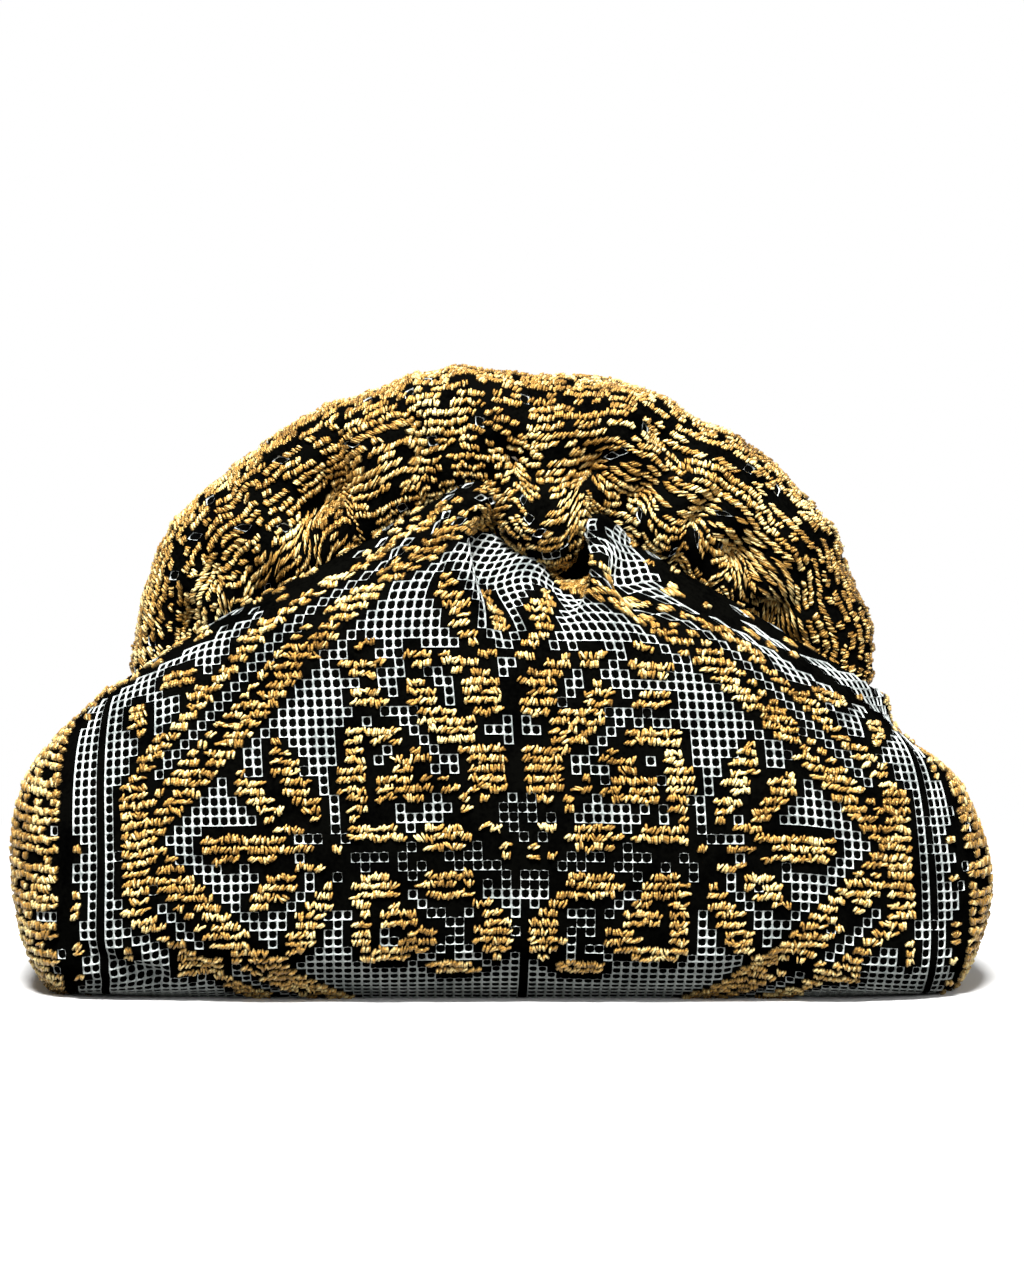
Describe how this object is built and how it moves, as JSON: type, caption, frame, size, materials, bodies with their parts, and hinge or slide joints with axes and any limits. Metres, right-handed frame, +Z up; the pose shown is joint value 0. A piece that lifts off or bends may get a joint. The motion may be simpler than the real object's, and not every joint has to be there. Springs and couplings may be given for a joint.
{
  "type": "clutch bag",
  "caption": "Soft evening clutch gathered on a hidden hinged arch frame, with a padded rolled mouth that opens both ways and a flat base.",
  "frame": {"origin": "middle of the base on the surface that the bag stands on", "axes": "+Z up, front towards -Y, +X to the right seen from the front"},
  "size_m": [0.25, 0.0986, 0.157],
  "materials": {
    "net_weave": "white net weave over black yarn with gold tufts",
    "gold_brocade": "gold metallic brocade tufts on black yarn",
    "lining_satin": "plain black satin",
    "grey_board": "bare grey board",
    "wadding": "white wadding",
    "spring_steel": "bare bent strip",
    "plated_steel": "bright nickel plate"
  },
  "bodies": {
    "pouch": {"front_panel": "net_weave", "rear_panel": "net_weave", "base_panel": "gold_brocade", "base_board": "grey_board", "base_lining": "lining_satin", "front_lining": "lining_satin", "rear_lining": "lining_satin", "slip_pocket": "lining_satin", "left_hinge_rivet": "plated_steel", "right_hinge_rivet": "plated_steel", "left_hinge_washer": "plated_steel", "right_hinge_washer": "plated_steel"},
    "front_frame": {"front_bow": "spring_steel", "front_padding": "wadding", "front_frame_cover": "gold_brocade", "front_left_magnet": "plated_steel", "front_right_magnet": "plated_steel"},
    "rear_frame": {"rear_bow": "spring_steel", "rear_padding": "wadding", "rear_frame_cover": "gold_brocade", "rear_left_magnet": "plated_steel", "rear_right_magnet": "plated_steel"}
  },
  "joints": [
    {"name": "front_hinge", "type": "hinge", "parent": "pouch", "child": "front_frame", "pos_m": [0, 0, 0.073], "axis": [1, 0, 0], "range_deg": [0, 45], "deforming": ["front_panel", "front_lining"]},
    {"name": "rear_hinge", "type": "hinge", "parent": "pouch", "child": "rear_frame", "pos_m": [0, 0, 0.073], "axis": [-1, 0, 0], "range_deg": [0, 45], "deforming": ["rear_panel", "rear_lining"]}
  ]
}
